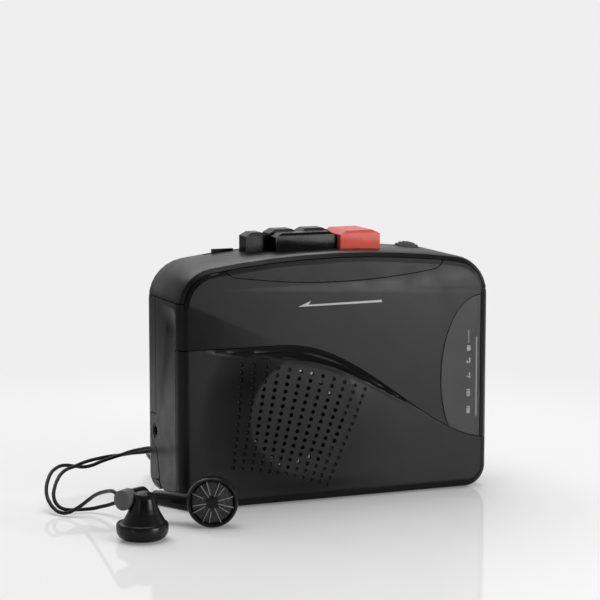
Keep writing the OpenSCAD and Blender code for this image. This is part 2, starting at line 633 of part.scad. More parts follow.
// ---- chassis
screw_r = 1;
stud = [[-26, 66], [10, 66]];
plate_x = half_w - 8;
arm_pivot = [capstan_x + 15.6, 69.625];
arm_len = norm([arm_pivot[0] - capstan_x, 4.375]);
arm_turn = 2 * asin(4.375 / arm_len);
roller_r = 3.9;
gear_y0 = -2.1;
gear_y1 = -0.7;
spindle_bore = 2;
module gear(r, n, h) linear_extrude(h) difference() {
    circle(r = r, $fn = 2 * n);
    for (i = [0:n - 1]) rotate((i + 0.5) * 360 / n) translate([r, 0]) polygon([[-0.7, -0.2], [0.3, -0.5], [0.3, 0.5], [-0.7, 0.2]]);
}
module gear_y(x, z, r, n) translate([x, gear_y1, z]) rotate([90, 0, 0]) gear(r, n, gear_y1 - gear_y0);
idler_r = 5.45;
idler_x = capstan_x + 0.38;
idler_z = 50.25;
module chassis_plate() color(steel_col) {
    difference() {
        union() {
            intersection() {
                box(-plate_x, plate_x, bay_y - plate_t, bay_y, 6, key_foot - key_run - 0.4);
                prism(-5, 5) polygon(outline(wall + 1.2));
            }
            both_sides() for (z = chassis_z) box(plate_x - 1, plate_x + 4.6, bay_y - plate_t, bay_y, z - 3, z + 3);
        }
        both_sides() rod_y(hub_x, hub_z, 2.6, -5, 5);
        rod_y(capstan_x, capstan_z, 2.6, -5, 5);
        rod_y(idler_x, idler_z, 1, -5, 5);
        box(stem_x[3] - 0.6, stem_x[3] + stem_w + 0.6, -5, 5, 69.8, 90);
        both_sides() for (z = chassis_z) rod_y(side_post_x, z, screw_r + 0.1, -5, 5);
    }
    // studs of the head plate
    for (p = stud) {
        rod_y(p[0], p[1], 1.2, bay_y - 0.2, 3.3);
        rod_y(p[0], p[1], 2.2, 3.1, 3.35);
    }
    rod_y(arm_pivot[0], arm_pivot[1], 1.5, bay_y - 0.2, 3.5);
    // bushes of the reel hubs
    both_sides() difference() {
        rod_y(hub_x, hub_z, 2.6, bay_y - plate_t - 1.2, bay_y);
        rod_y(hub_x, hub_z, spindle_bore, -5, 5);
    }
}
module chassis_screws() color(steel_col) both_sides() for (z = chassis_z) {
    rod_y(side_post_x, z, screw_r, -4, bay_y);
    rod_y(side_post_x, z, 1.9, bay_y, bay_y + 1);
}
module reel_spindle(x) {
    rod_y(x, hub_z, spindle_bore - run, gear_y0, 3);
    gear_y(x, hub_z, 10, 40);
    rod_y(x, hub_z, 3.6, bay_y + 0.2, 3.2);
    rod_y(x, hub_z, 2.4, 3, 11.5);
    for (a = [30:60:330]) translate([x, 0, hub_z]) rotate([0, a, 0]) box(0, 3.6, 4, 10.5, -0.45, 0.45);
}
module takeup_spindle() color(cream_col) reel_spindle(hub_x);
module supply_spindle() color(cream_col) reel_spindle(-hub_x);
module idler_gear() color(cream_col) {
    gear_y(idler_x, idler_z, idler_r, 22);
    rod_y(idler_x, idler_z, 1 - run, gear_y0, bay_y + 0.4);
}
belt_y = [-5.2, -3.4];
module pulley(r) rotate_extrude() polygon([[0, belt_y[0] - 1.3], [r, belt_y[0] - 1.3], [r, belt_y[0]], [r - 1.4, belt_y[0]],
    [r - 1.4, belt_y[1]], [r, belt_y[1]], [r, belt_y[1] + 0.9], [0, belt_y[1] + 0.9]]);
module flywheel() color(brass_col) {
    translate([capstan_x, 0, capstan_z]) rotate([-90, 0, 0]) pulley(flywheel_r);
    rod_y(capstan_x, capstan_z, capstan_d / 2, -6, 13);
    gear_y(capstan_x, capstan_z, 3.9, 16);
}
module capstan_bearing() color(brass_col) difference() {
    union() {
        rod_y(capstan_x, capstan_z, 2.6, -0.4, 3);
        rod_y(capstan_x, capstan_z, 3.6, bay_y - plate_t - 0.5, bay_y - plate_t);
    }
    rod_y(capstan_x, capstan_z, capstan_d / 2 + run, -3, 5);
}
module motor() color(steel_col) difference() {
    union() {
        rod_y(motor_x, motor_z, motor_r, rest_y + rest_t + 0.2, -7);
        rod_y(motor_x, motor_z, 2.8, -7.1, -6);
    }
    rod_y(motor_x, motor_z, 1 + run, -13, -5);
}
bracket_posts = [[motor_x + 15, 27], [motor_x + 15, 10], [motor_x - 7, 10]];
module motor_bracket() color(steel_col) {
    difference() {
        box(motor_x - 12, motor_x + 17, -7, -6.2, 8, 32);
        rod_y(motor_x, motor_z, 2.85, -8, -5);
    }
    for (p = bracket_posts) rod_y(p[0], p[1], 1.6, -6.3, bay_y - plate_t);
}
module motor_pulley() color(brass_col) {
    translate([motor_x, 0, motor_z]) rotate([-90, 0, 0]) pulley_small();
    rod_y(motor_x, motor_z, 1, -12.5, belt_y[0] + 0.2);
}
module pulley_small() rotate_extrude() polygon([[0, belt_y[0] - 0.6], [3.8, belt_y[0] - 0.6], [3.8, belt_y[0]], [2.4, belt_y[0]],
    [2.4, belt_y[1]], [3.8, belt_y[1]], [3.8, belt_y[1] + 0.6], [0, belt_y[1] + 0.6]]);
belt_dx = motor_x - capstan_x;
belt_dz = motor_z - capstan_z;
belt_a = atan2(belt_dz, belt_dx);
belt_c = acos((flywheel_r - 1.4 - 2.4) / norm([belt_dx, belt_dz]));
module belt_loop(g) polygon(concat(
    arc(capstan_x, capstan_z, flywheel_r - 1.4 + g, belt_a + belt_c, belt_a - belt_c + 360, 30),
    arc(motor_x, motor_z, 2.4 + g, belt_a - belt_c, belt_a + belt_c, 10)));
module drive_belt() color(rubber_col) prism(belt_y[0] + 0.3, belt_y[1] - 0.3) difference() {
    belt_loop(1.1);
    belt_loop(0.28);
}

// ---- heads and pinch roller
head_y = [bay_y + 0.2, bay_y + 1];
module head_plate() color(steel_col) {
    difference() {
        box(-30, 14, head_y[0], head_y[1], 62, 76);
        for (p = stud) box(p[0] - 1.6, p[0] + 1.6, 0, 5, p[1] - 1.6, p[1] + key_travel + 1.6);
    }
    box(stem_x[3], stem_x[3] + stem_w, play_y, head_y[1], 74.8, 76);
}
head_face = 70.2;
module playback_head() color(steel_col) {
    difference() {
        box(-6, 6, 5.2, 13.4, head_face, 75.8);
        box(-3, 3, 13, 14, 72, 74);
    }
    box(-6, -2.6, head_y[1], 5.3, head_face, 75.8);
}
module erase_head() color(rubber_col) {
    box(-20, -13.2, 5.2, 13.4, head_face + 0.4, 75.8);
    box(-20, -17, head_y[1], 5.3, head_face + 0.4, 75.8);
}
module pinch_arm() color(steel_col) translate([arm_pivot[0], 0, arm_pivot[1]]) rotate([0, -(180 - arm_turn / 2), 0]) difference() {
    union() {
        rod_y(0, 0, 3.2, head_y[0], head_y[1]);
        box(0, arm_len, head_y[0], head_y[1], -2, 2);
        rod_y(arm_len, 0, 2.2, head_y[0], head_y[1]);
        rod_y(arm_len, 0, 1, head_y[0], 12.6);
    }
    rod_y(0, 0, 1.5 + run, 0, 5);
}
module pinch_roller() color(rubber_col) difference() {
    rod_y(capstan_x, arm_pivot[1] + 4.375, roller_r, 5, 12);
    rod_y(capstan_x, arm_pivot[1] + 4.375, 1 + run, 0, 15);
}

// ---- earphones: points of the cord are chosen by hand, in millimetres
cord_pts = [[61, 21.6, 76], [64, 21.8, 75], [66, 22.4, 71], [66.5, 23, 65], [66.5, 24, 58], [66, 25, 51],
    [65.5, 26, 44], [65.2, 27, 37], [65, 28, 30], [64.4, 29, 24], [62.8, 30.2, 18.6], [60, 31.4, 15],
    [56, 32.3, 12.9], [52, 32.6, 12.2], [48.5, 32.4, 12.1]];
coil_x = 44;
coil_y = 43.5;
coil_r = 12.6;
coil_h = 5 * cord_d;
left_pts = [[8.1, 28.4, 1.5], [3, 28.6, 0.9], [-3, 30, 0.8], [-9, 33.5, 0.8], [-14, 38.5, 0.8],
    [-18.4, 44.4, 0.8], [-23, 49.6, 0.8], [-29, 52.6, 0.9], [-35.4, 52.4, 1.8], [-41, 49.6, 3.8],
    [-45.6, 45.4, 6.6], [-49.2, 40.4, 9.8], [-51.4, 36, 12], [-53.1, 33, 13], [-58.3, 28.5, 13.7],
    [-63.3, 25, 13.9], [-67.5, 22.2, 13.6], [-71.8, 20.5, 13.1], [-75.8, 19.6, 12.3],
    [-79.2, 19.6, 11.2], [-82.4, 20, 10.8], [-85.3, 20, 11.3], [-88, 19.6, 11.9], [-90.7, 18.4, 12.2],
    [-93.4, 16.2, 11.9], [-95.8, 13.4, 11.2], [-97.8, 10.4, 9.6], [-99.4, 7.2, 7.5], [-100.2, 4, 5.4],
    [-100.2, 0.6, 3.5], [-99.4, -2.4, 1.9], [-98.1, -5.4, 1.1], [-96.2, -7.2, 1.2], [-93.8, -7.8, 2.2],
    [-91.8, -9.2, 3.8], [-90.2, -11.6, 5.9], [-89.2, -15, 8], [-88.8, -20, 10], [-88.5, -26, 11.8],
    [-88.7, -33, 13.5], [-89.3, -39.5, 14.5], [-88.9, -42.4, 14], [-88, -44, 13.8]];
right_pts = [[8.1, 31.2, 1.5], [3.4, 31.6, 0.9], [-1.6, 33, 0.8], [-6.8, 36.4, 0.8], [-11.6, 41, 0.8],
    [-16, 46.8, 0.8], [-21.4, 52.4, 0.8], [-28.6, 55.6, 0.9], [-36.4, 55.2, 1.6], [-42.8, 52, 3.2],
    [-47.6, 47.2, 5.6], [-50.8, 42, 8.4], [-52.2, 38, 10.2], [-52.5, 34.6, 11.3], [-57.8, 30.2, 12.2],
    [-62.7, 26.8, 12.9], [-67.3, 24.2, 13.1], [-71.7, 22.2, 13.4], [-75.7, 21.3, 13.2],
    [-79.5, 21, 12.7], [-83.6, 18.4, 12.4], [-86.7, 17, 11.8], [-89.6, 15.2, 11.5],
    [-92.4, 12.6, 10.7], [-94.8, 9.4, 9.3], [-96.9, 5.8, 7.3], [-98.1, 2.8, 5.1], [-98, 0.4, 3.2],
    [-96.8, -1.8, 1.8], [-94.4, -3, 1.2], [-91.7, -3.4, 1.1], [-89, -3.8, 1.1], [-86.4, -5, 1.4],
    [-84.2, -7.2, 2.3], [-82.5, -10, 3.3], [-81, -13.4, 4.7], [-79.5, -16.8, 6], [-77.8, -19.6, 7.2],
    [-76, -22.2, 8.3], [-74.2, -24.4, 9.1], [-72.6, -26.4, 9.5], [-71.4, -27.6, 9.4]];
function unit(v) = v / norm(v);
function tangents(p) = [for (i = [0:len(p) - 1]) unit(p[min(i + 1, len(p) - 1)] - p[max(i - 1, 0)])];
function across(v, t) = unit(v - t * (v * t));
function sides(t) = [for (i = 0, n = across([0.1, 0.2, 1], t[0]); i < len(t); i = i + 1, n = i < len(t) ? across(n, t[i]) : n) n];
module tube(p, r) {
    t = tangents(p);
    s = sides(t);
    k = 8;
    pts = [for (i = [0:len(p) - 1]) let (b = cross(t[i], s[i])) for (j = [0:k - 1])
        p[i] + r * cos(360 * j / k) * s[i] + r * sin(360 * j / k) * b];
    faces = concat([[for (j = [0:k - 1]) j]],
        [for (i = [0:len(p) - 2]) for (j = [0:k - 1]) let (m = (j + 1) % k)
            [i * k + j, (i + 1) * k + j, (i + 1) * k + m, i * k + m]],
        [[for (j = [k - 1:-1:0]) (len(p) - 1) * k + j]]);
    polyhedron(pts, faces, convexity = 6);
}
// the earphones keep their place from the right end of the body
module beside() translate([half_w - 59, 0, 0]) children();
module headphone_plug() color(rubber_col) {
    rod_y(phones_x, phones_z, plug_r, 5, 19);
    rod_y(phones_x, phones_z, 3.2, back_y + 0.2, 22);
    rod_x(21.6, phones_z, 3.2, phones_x - 3.4, phones_x + 5);
    rod_x(21.6, phones_z, 1.9, phones_x + 4.9, phones_x + 11);
}
module main_cord() color(rubber_col) beside() tube(cord_pts, cord_d / 2);
module cord_coil() color(rubber_col) beside() translate([coil_x, coil_y, 0]) rotate_extrude()
    polygon([[coil_r - cord_d, 0], [coil_r + cord_d, 0], [coil_r + cord_d, coil_h], [coil_r - cord_d, coil_h]]);
module cord_splitter() color(rubber_col) beside() {
    box(8, 20, coil_y - coil_r - 3.7, coil_y - coil_r + 1.5, 0, 3);
    rod_x(coil_y - coil_r - cord_d / 2, cord_d / 2, cord_d / 2, 19.9, 39);
}
module left_lead() color(rubber_col) beside() tube(left_pts, lead_d / 2);
module right_lead() color(rubber_col) beside() tube(right_pts, lead_d / 2);
barrel_r0 = bud_r * 0.28;           // far end of an earbud's barrel
barrel_r1 = bud_r * 0.4;            // end next to the neck
module bud() rotate_extrude() polygon([[0, 0], [bud_r * 0.62, 0.1], [bud_r * 0.87, 0.8], [bud_r * 0.98, 2],
    [bud_r + 0.2, 3.6], [bud_r + 0.1, 5], [bud_r - 0.5, 5.5], [bud_r * 0.72, 6.2], [bud_r * 0.55, 7.4], [bud_r * 0.46, 9],
    [bud_r * 0.42, 11], [0, 11]]);
module barrel(p, turn, len, r0, r1) translate(p) rotate([0, 0, turn]) rotate([0, 90, 0]) cylinder(r1 = r0, r2 = r1, h = len);
module left_earbud() color(rubber_col) beside() {
    translate([-82.5, -48, 0]) bud();
    barrel([-88.7, -44.4, 13], 32, 13.5, barrel_r1, barrel_r1 - 0.6);
    translate([-82.3, -43.4, 6]) cylinder(r1 = 5.4, r2 = 3, h = 7);
}
module right_earbud() color(rubber_col) beside() {
    translate([-56.5, -43.3, bud_r + 0.3]) rotate([0, 0, -22]) rotate([-90, 0, 0]) bud();
    barrel([-71.8, -25.4, 9.6], -71, 20, barrel_r0, barrel_r1);
    barrel([-68.5, -40.5, 9], 32, 13, barrel_r1 - 0.3, barrel_r1 + 0.2);
}

front_shell();
front_panel();
brow_trim();
dial_lens();
dial_plate();
top_cover();
center_frame();
cassette_door();
door_window();
cassette_holder();
hinge_pins();
stop_eject_key();
rewind_key();
fast_forward_key();
play_key();
record_key();
volume_wheel();
volume_control();
function_switch();
function_knob();
tuning_wheel();
tuning_capacitor();
dial_pointer();
microphone();
power_light();
power_jack();
headphone_jack();
speaker_frame();
speaker_cone();
circuit_board();
battery_cells();
battery_contacts();
chassis_plate();
key_bracket();
motor();
motor_bracket();
motor_pulley();
drive_belt();
flywheel();
capstan_bearing();
takeup_spindle();
supply_spindle();
idler_gear();
head_plate();
playback_head();
erase_head();
pinch_arm();
pinch_roller();
chassis_screws();
headphone_plug();
main_cord();
cord_coil();
cord_splitter();
left_lead();
right_lead();
left_earbud();
right_earbud();
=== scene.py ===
"""A pocket cassette player with its earphones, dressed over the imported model."""

import json
import math

import bmesh
import bpy
import numpy as np
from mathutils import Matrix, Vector


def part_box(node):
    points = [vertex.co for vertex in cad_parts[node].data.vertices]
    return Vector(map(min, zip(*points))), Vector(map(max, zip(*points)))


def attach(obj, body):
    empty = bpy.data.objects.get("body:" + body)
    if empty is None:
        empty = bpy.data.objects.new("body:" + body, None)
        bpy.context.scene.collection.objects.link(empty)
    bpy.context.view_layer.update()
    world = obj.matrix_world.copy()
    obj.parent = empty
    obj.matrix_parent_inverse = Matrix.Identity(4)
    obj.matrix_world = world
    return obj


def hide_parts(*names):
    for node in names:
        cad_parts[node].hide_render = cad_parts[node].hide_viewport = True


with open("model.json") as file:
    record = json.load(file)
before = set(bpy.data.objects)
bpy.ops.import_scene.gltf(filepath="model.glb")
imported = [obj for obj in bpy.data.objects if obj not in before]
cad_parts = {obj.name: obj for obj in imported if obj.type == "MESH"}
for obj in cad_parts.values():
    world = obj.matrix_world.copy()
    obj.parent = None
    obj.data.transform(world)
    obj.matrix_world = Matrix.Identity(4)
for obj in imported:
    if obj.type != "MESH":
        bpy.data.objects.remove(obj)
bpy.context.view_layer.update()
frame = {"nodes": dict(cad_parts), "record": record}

MM = 0.001


def mm(points):
    """Millimetres to metres."""
    return [tuple(c * MM for c in p) for p in points]


def deselect():
    bpy.ops.object.select_all(action="DESELECT")


def pick(obj):
    deselect()
    obj.hide_set(False)
    obj.select_set(True)
    bpy.context.view_layer.objects.active = obj
    return obj


# ---------------------------------------------------------------- camera

EYE = Vector((-302.7, -726.8, 174.3)) * MM
AIM = Vector((-7.3, 0.0, 69.3)) * MM


def place_camera():
    bpy.ops.object.camera_add(location=EYE)
    camera = bpy.context.object
    camera.name = "studio_camera"
    camera.rotation_euler = (AIM - EYE).to_track_quat("-Z", "Y").to_euler()
    camera.data.sensor_width = 36
    camera.data.lens = 133.4
    camera.data.clip_start = 0.05
    camera.data.clip_end = 60
    bpy.context.scene.camera = camera


place_camera()


# ---------------------------------------------------------------- materials

class Nodes:
    """A material's node tree, with short calls for the nodes that it needs."""

    def __init__(self, name):
        self.material = bpy.data.materials.new(name)
        self.material.use_nodes = True
        self.tree = self.material.node_tree
        self.tree.nodes.clear()
        self.out = self.add("ShaderNodeOutputMaterial")
        self.coords = self.add("ShaderNodeTexCoord")

    def add(self, kind, **settings):
        node = self.tree.nodes.new(kind)
        for key, value in settings.items():
            setattr(node, key, value)
        return node

    def link(self, a, b):
        self.tree.links.new(a, b)

    def noise(self, scale, detail, rough=0.5, stretch=None):
        """Noise on the piece's own coordinates, stretched along its axes where lines run."""
        node = self.add("ShaderNodeTexNoise")
        node.inputs["Scale"].default_value = scale
        node.inputs["Detail"].default_value = detail
        node.inputs["Roughness"].default_value = rough
        source = self.coords.outputs["Object"]
        if stretch:
            mapping = self.add("ShaderNodeMapping")
            mapping.inputs["Scale"].default_value = stretch
            self.link(source, mapping.inputs["Vector"])
            source = mapping.outputs["Vector"]
        self.link(source, node.inputs["Vector"])
        return node.outputs["Fac"]

    def ramp(self, fac, low, high, start=0.3, end=0.7):
        """Colour that goes from low to high as the pattern goes from start to end."""
        node = self.add("ShaderNodeValToRGB")
        node.color_ramp.elements[0].position = start
        node.color_ramp.elements[1].position = end
        node.color_ramp.elements[0].color = (*low, 1)
        node.color_ramp.elements[1].color = (*high, 1)
        self.link(fac, node.inputs["Fac"])
        return node.outputs["Color"]

    def spread(self, fac, low, high):
        """A number that follows the middle of a noise."""
        node = self.add("ShaderNodeMapRange")
        node.inputs["From Min"].default_value = 0.3
        node.inputs["From Max"].default_value = 0.7
        node.inputs["To Min"].default_value = low
        node.inputs["To Max"].default_value = high
        self.link(fac, node.inputs["Value"])
        return node.outputs["Result"]

    def bump(self, height, depth, normal=None):
        node = self.add("ShaderNodeBump")
        node.inputs["Strength"].default_value = 1.0
        node.inputs["Distance"].default_value = depth
        self.link(height, node.inputs["Height"])
        if normal:
            self.link(normal, node.inputs["Normal"])
        return node.outputs["Normal"]

    def surface(self, **sockets):
        """The shader, with each socket set to a constant or joined to a pattern."""
        node = self.add("ShaderNodeBsdfPrincipled")
        for key, value in sockets.items():
            socket = node.inputs[key.replace("_", " ")]
            if isinstance(value, bpy.types.NodeSocket):
                self.link(value, socket)
            else:
                socket.default_value = value
        self.link(node.outputs["BSDF"], self.out.inputs["Surface"])
        return node


SATIN_SHINE = 0.22
CLEAR_SHINE = 0.24


def moulded(name, colour, rough, grain, depth, wear=0.12):
    """Moulded plastic: a fine spark-eroded grain, slow shade changes and a few rubbed spots."""
    n = Nodes(name)
    patches = n.noise(scale=34, detail=4, rough=0.6)
    low = [c * (1 - wear) for c in colour]
    high = [min(1, c * (1 + wear) + 0.001) for c in colour]
    spark = n.bump(n.noise(scale=grain, detail=3, rough=0.62), depth)
    flow = n.bump(n.noise(scale=70, detail=2, rough=0.4), depth * 2.2, spark)
    rubbed = n.noise(scale=140, detail=3, rough=0.6)
    n.surface(Base_Color=n.ramp(patches, low, high), Normal=flow, IOR=1.5,
              Specular_IOR_Level=SATIN_SHINE, Roughness=n.spread(rubbed, rough - 0.05, rough + 0.06))
    return n.material


def woven(name, low, high):
    """Fine cloth screen: small dark pits between lighter threads."""
    n = Nodes(name)
    cells = n.add("ShaderNodeTexVoronoi")
    cells.inputs["Scale"].default_value = 1700
    n.link(n.coords.outputs["Object"], cells.inputs["Vector"])
    pits = cells.outputs["Distance"]
    slack = n.bump(n.noise(scale=420, detail=3, rough=0.6), 0.00008)
    n.surface(Base_Color=n.ramp(pits, low, high, start=0.3, end=0.8), Roughness=0.5,
              Normal=n.bump(pits, 0.00012, slack))
    return n.material


def metal(name, colour, rough, lines=(40, 40, 1400)):
    """Rolled or turned metal with drawn lines."""
    n = Nodes(name)
    drawn = n.noise(scale=1, detail=2, rough=0.5, stretch=lines)
    dull = [c * 0.86 for c in colour]
    n.surface(Base_Color=n.ramp(n.noise(scale=60, detail=3), dull, colour), Metallic=1.0,
              Normal=n.bump(drawn, 0.000006), Roughness=n.spread(drawn, rough - 0.07, rough + 0.1))
    return n.material


def clear(name, colour, rough, share):
    """Smoked clear plastic with faint moulding flow; share is how much of it is tinted body."""
    n = Nodes(name)
    glass = n.add("ShaderNodeBsdfPrincipled")
    glass.inputs["Base Color"].default_value = (*colour, 1)
    glass.inputs["IOR"].default_value = 1.49
    glass.inputs["Specular IOR Level"].default_value = CLEAR_SHINE
    n.link(n.bump(n.noise(scale=45, detail=2), 0.000015), glass.inputs["Normal"])
    n.link(n.spread(n.noise(scale=160, detail=3), rough, rough + 0.05), glass.inputs["Roughness"])
    through = n.add("ShaderNodeBsdfTransparent")
    through.inputs["Color"].default_value = (0.62, 0.62, 0.64, 1)
    mix = n.add("ShaderNodeMixShader")
    mix.inputs["Fac"].default_value = 1 - share
    n.link(glass.outputs["BSDF"], mix.inputs[1])
    n.link(through.outputs["BSDF"], mix.inputs[2])
    n.link(mix.outputs["Shader"], n.out.inputs["Surface"])
    return n.material


def finishes():
    """One finish for each slot of the record, and four more for printing and earbud details."""
    black = (0.012, 0.012, 0.0125)
    return {
        # name, colour, roughness, grain, depth of grain, wear
        "shell": moulded("lower_shell_plastic", (0.0025, 0.0025, 0.0027), 0.34, 1500, 0.00001),
        "panel": moulded("upper_panel_plastic", (0.003, 0.003, 0.0032), 0.34, 1500, 0.00001),
        "trim": moulded("cabinet_plastic", (0.0025, 0.0025, 0.0027), 0.34, 1300, 0.00001),
        "key": moulded("key_plastic", (0.003, 0.003, 0.0032), 0.26, 900, 0.000008),
        "red_key": moulded("red_key_plastic", (0.78, 0.11, 0.075), 0.3, 900, 0.000008, 0.06),
        "lens": clear("dial_window_plastic", (0.095, 0.095, 0.098), 0.16, 0.62),
        "window": clear("door_window_plastic", (0.035, 0.035, 0.037), 0.07, 0.6),
        "dial": moulded("dial_card", (0.3, 0.3, 0.305), 0.6, 700, 0.00001),
        "pointer": moulded("pointer_plastic", (0.62, 0.16, 0.05), 0.4, 900, 0.00001),
        "steel": metal("plated_steel", (0.62, 0.62, 0.63), 0.28),
        "brass": metal("turned_brass", (0.66, 0.48, 0.2), 0.22, (900, 60, 900)),
        "gear": moulded("acetal_plastic", (0.72, 0.69, 0.6), 0.42, 700, 0.00001, 0.05),
        "board": moulded("board_lacquer", (0.02, 0.16, 0.07), 0.35, 260, 0.00003, 0.25),
        "cell": moulded("cell_sleeve", (0.05, 0.055, 0.07), 0.32, 300, 0.000008),
        "rubber": moulded("belt_rubber", black, 0.72, 1200, 0.00002),
        "black_plastic": moulded("socket_plastic", black, 0.42, 1100, 0.00001),
        "cone": moulded("cone_paper", (0.02, 0.02, 0.02), 0.8, 420, 0.00005, 0.3),
        "lamp": moulded("lamp_plastic", (0.35, 0.02, 0.015), 0.16, 500, 0.000004),
        "ink": moulded("printing_ink", (0.5, 0.5, 0.5), 0.5, 900, 0.000004, 0.04),
        "faint_ink": moulded("faint_printing_ink", (0.27, 0.27, 0.27), 0.5, 900, 0.000004, 0.04),
        "cord": moulded("cord_sheath", (0.007, 0.007, 0.0075), 0.42, 1600, 0.000012),
        "bud": moulded("earbud_plastic", (0.007, 0.007, 0.0075), 0.27, 1500, 0.000006),
        # the earbud cap's light grey is a painted highlight of its lit, reflecting end
        "bud_cap": moulded("earbud_cap_painted_highlight", (0.12, 0.12, 0.122), 0.42, 1500, 0.000008),
        "bud_mesh": woven("earbud_screen_cloth", (0.005, 0.005, 0.005), (0.035, 0.035, 0.035)),
        # the spokes are real raised bars; their light grey is painted glints on the dark earbud plastic
        "bud_spoke": moulded("earbud_spoke_painted_glint", (0.24, 0.24, 0.243), 0.22, 1500, 0.000006),
    }


FINISH = finishes()
SLOT_OF = {row["node"]: row["material_slot"] for row in frame["record"]["subparts"]}


def paint(obj, material):
    obj.data.materials.clear()
    obj.data.materials.append(material)


for node, obj in frame["nodes"].items():
    paint(obj, FINISH[SLOT_OF[node]])

BODY_OF = {node: body for body, nodes in frame["record"]["behaviour"]["bodies"].items() for node in nodes}


def settle(obj, name, node):
    """Names a finished piece, puts it on the body of a node and hides that node in its place."""
    obj.name = name
    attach(obj, BODY_OF[node])
    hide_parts(node)
    return obj


def join(pieces):
    """Makes several pieces one, the first of them."""
    deselect()
    for piece in pieces:
        piece.select_set(True)
    bpy.context.view_layer.objects.active = pieces[0]
    bpy.ops.object.join()
    return bpy.context.object


def smooth(obj, below):
    """Smooth shading across the edges whose angle is under so many degrees."""
    pick(obj)
    bpy.ops.object.shade_smooth_by_angle(angle=math.radians(below))


def skin(node):
    """A node's own form with its loose triangles merged, its flats kept and its rounds smoothed."""
    copy = frame["nodes"][node].copy()
    copy.data = copy.data.copy()
    for key in list(copy.keys()):
        del copy[key]
    copy.parent = None
    bpy.context.scene.collection.objects.link(copy)
    pick(copy)
    bpy.ops.object.mode_set(mode="EDIT")
    bpy.ops.mesh.select_all(action="SELECT")
    bpy.ops.mesh.remove_doubles(threshold=0.000004)
    bpy.ops.mesh.dissolve_limited(angle_limit=math.radians(0.6))
    bpy.ops.object.mode_set(mode="OBJECT")
    smooth(copy, 32)
    paint(copy, FINISH[SLOT_OF[node]])
    return settle(copy, node + "_skin", node)


# ---------------------------------------------------------------- cords

CORD_D = 2.2
LEAD_D = 1.3
# centre of the coil and the middle radius of its turns
COIL = (44.0, 43.5, 12.6)
COIL_LAYERS = 5
COIL_END = 3255
HAND_OVER = 25
CLEAR = 0.15

CORD_POINTS = [
    (61, 21.6, 76), (64, 21.8, 75), (66, 22.4, 71), (66.5, 23, 65), (66.5, 24, 58), (66, 25, 51),
    (65.5, 26, 44), (65.2, 27, 37), (65, 28, 30), (64.4, 29, 24), (62.8, 30.2, 18.6), (60, 31.4, 15),
    (56, 32.3, 12.9), (52, 32.6, 12.2)]
LEFT_POINTS = [
    (8.1, 28.4, 1.5), (3, 28.6, 0.9), (-3, 30, 0.8), (-9, 33.5, 0.8), (-14, 38.5, 0.8),
    (-18.4, 44.4, 0.8), (-23, 49.6, 0.8), (-29, 52.6, 0.9), (-35.4, 52.4, 1.8), (-41, 49.6, 3.8),
    (-45.6, 45.4, 6.6), (-49.2, 40.4, 9.8), (-51.4, 36, 12), (-53.1, 33, 13), (-58.3, 28.5, 13.7),
    (-63.3, 25, 13.9), (-67.5, 22.2, 13.6), (-71.8, 20.5, 13.1), (-75.8, 19.6, 12.3),
    (-79.2, 19.6, 11.2), (-82.4, 20, 10.8), (-85.3, 20, 11.3), (-88, 19.6, 11.9), (-90.7, 18.4, 12.2),
    (-93.4, 16.2, 11.9), (-95.8, 13.4, 11.2), (-97.8, 10.4, 9.6), (-99.4, 7.2, 7.5), (-100.2, 4, 5.4),
    (-100.2, 0.6, 3.5), (-99.4, -2.4, 1.9), (-98.1, -5.4, 1.1), (-96.2, -7.2, 1.2), (-93.8, -7.8, 2.2),
    (-91.8, -9.2, 3.8), (-90.2, -11.6, 5.9), (-89.2, -15, 8), (-88.8, -20, 10), (-88.5, -26, 11.8),
    (-88.7, -33, 13.5), (-89.3, -39.5, 14.5), (-88.9, -42.4, 14), (-88, -44, 13.8)]
RIGHT_POINTS = [
    (8.1, 31.2, 1.5), (3.4, 31.6, 0.9), (-1.6, 33, 0.8), (-6.8, 36.4, 0.8), (-11.6, 41, 0.8),
    (-16, 46.8, 0.8), (-21.4, 52.4, 0.8), (-28.6, 55.6, 0.9), (-36.4, 55.2, 1.6), (-42.8, 52, 3.2),
    (-47.6, 47.2, 5.6), (-50.8, 42, 8.4), (-52.2, 38, 10.2), (-52.5, 34.6, 11.3), (-57.8, 30.2, 12.2),
    (-62.7, 26.8, 12.9), (-67.3, 24.2, 13.1), (-71.7, 22.2, 13.4), (-75.7, 21.3, 13.2),
    (-79.5, 21, 12.7), (-83.6, 18.4, 12.4), (-86.7, 17, 11.8), (-89.6, 15.2, 11.5),
    (-92.4, 12.6, 10.7), (-94.8, 9.4, 9.3), (-96.9, 5.8, 7.3), (-98.1, 2.8, 5.1), (-98, 0.4, 3.2),
    (-96.8, -1.8, 1.8), (-94.4, -3, 1.2), (-91.7, -3.4, 1.1), (-89, -3.8, 1.1), (-86.4, -5, 1.4),
    (-84.2, -7.2, 2.3), (-82.5, -10, 3.3), (-81, -13.4, 4.7), (-79.5, -16.8, 6), (-77.8, -19.6, 7.2),
    (-76, -22.2, 8.3), (-74.2, -24.4, 9.1), (-72.6, -26.4, 9.5), (-71.4, -27.6, 9.4)]


def coil_points():
    """The wound part of the cord: two turns to a layer, each turn handing over to the next place."""
    cx, cy, r = COIL
    places = []
    for layer in range(COIL_LAYERS):
        pair = [(r + CORD_D / 2, layer), (r - CORD_D / 2, layer)]
        places += pair if layer % 2 == 0 else pair[::-1]
    rounds = len(places)
    turn = 360 - HAND_OVER
    points = []
    for turned in range(0, COIL_END + 1, 15):
        k = min(turned // turn, rounds - 1)
        into = (turned - k * turn - (turn - HAND_OVER)) / HAND_OVER
        share = max(0.0, min(1.0, into)) if k < rounds - 1 else 0.0
        share = share * share * (3 - 2 * share)
        a, b = places[k], places[min(k + 1, rounds - 1)]
        radius = a[0] + (b[0] - a[0]) * share
        height = CLEAR + CORD_D * (0.5 + a[1] + (b[1] - a[1]) * share)
        angle = math.radians(turned - 90)
        points.append((cx + radius * math.cos(angle), cy + radius * math.sin(angle), height))
    return points


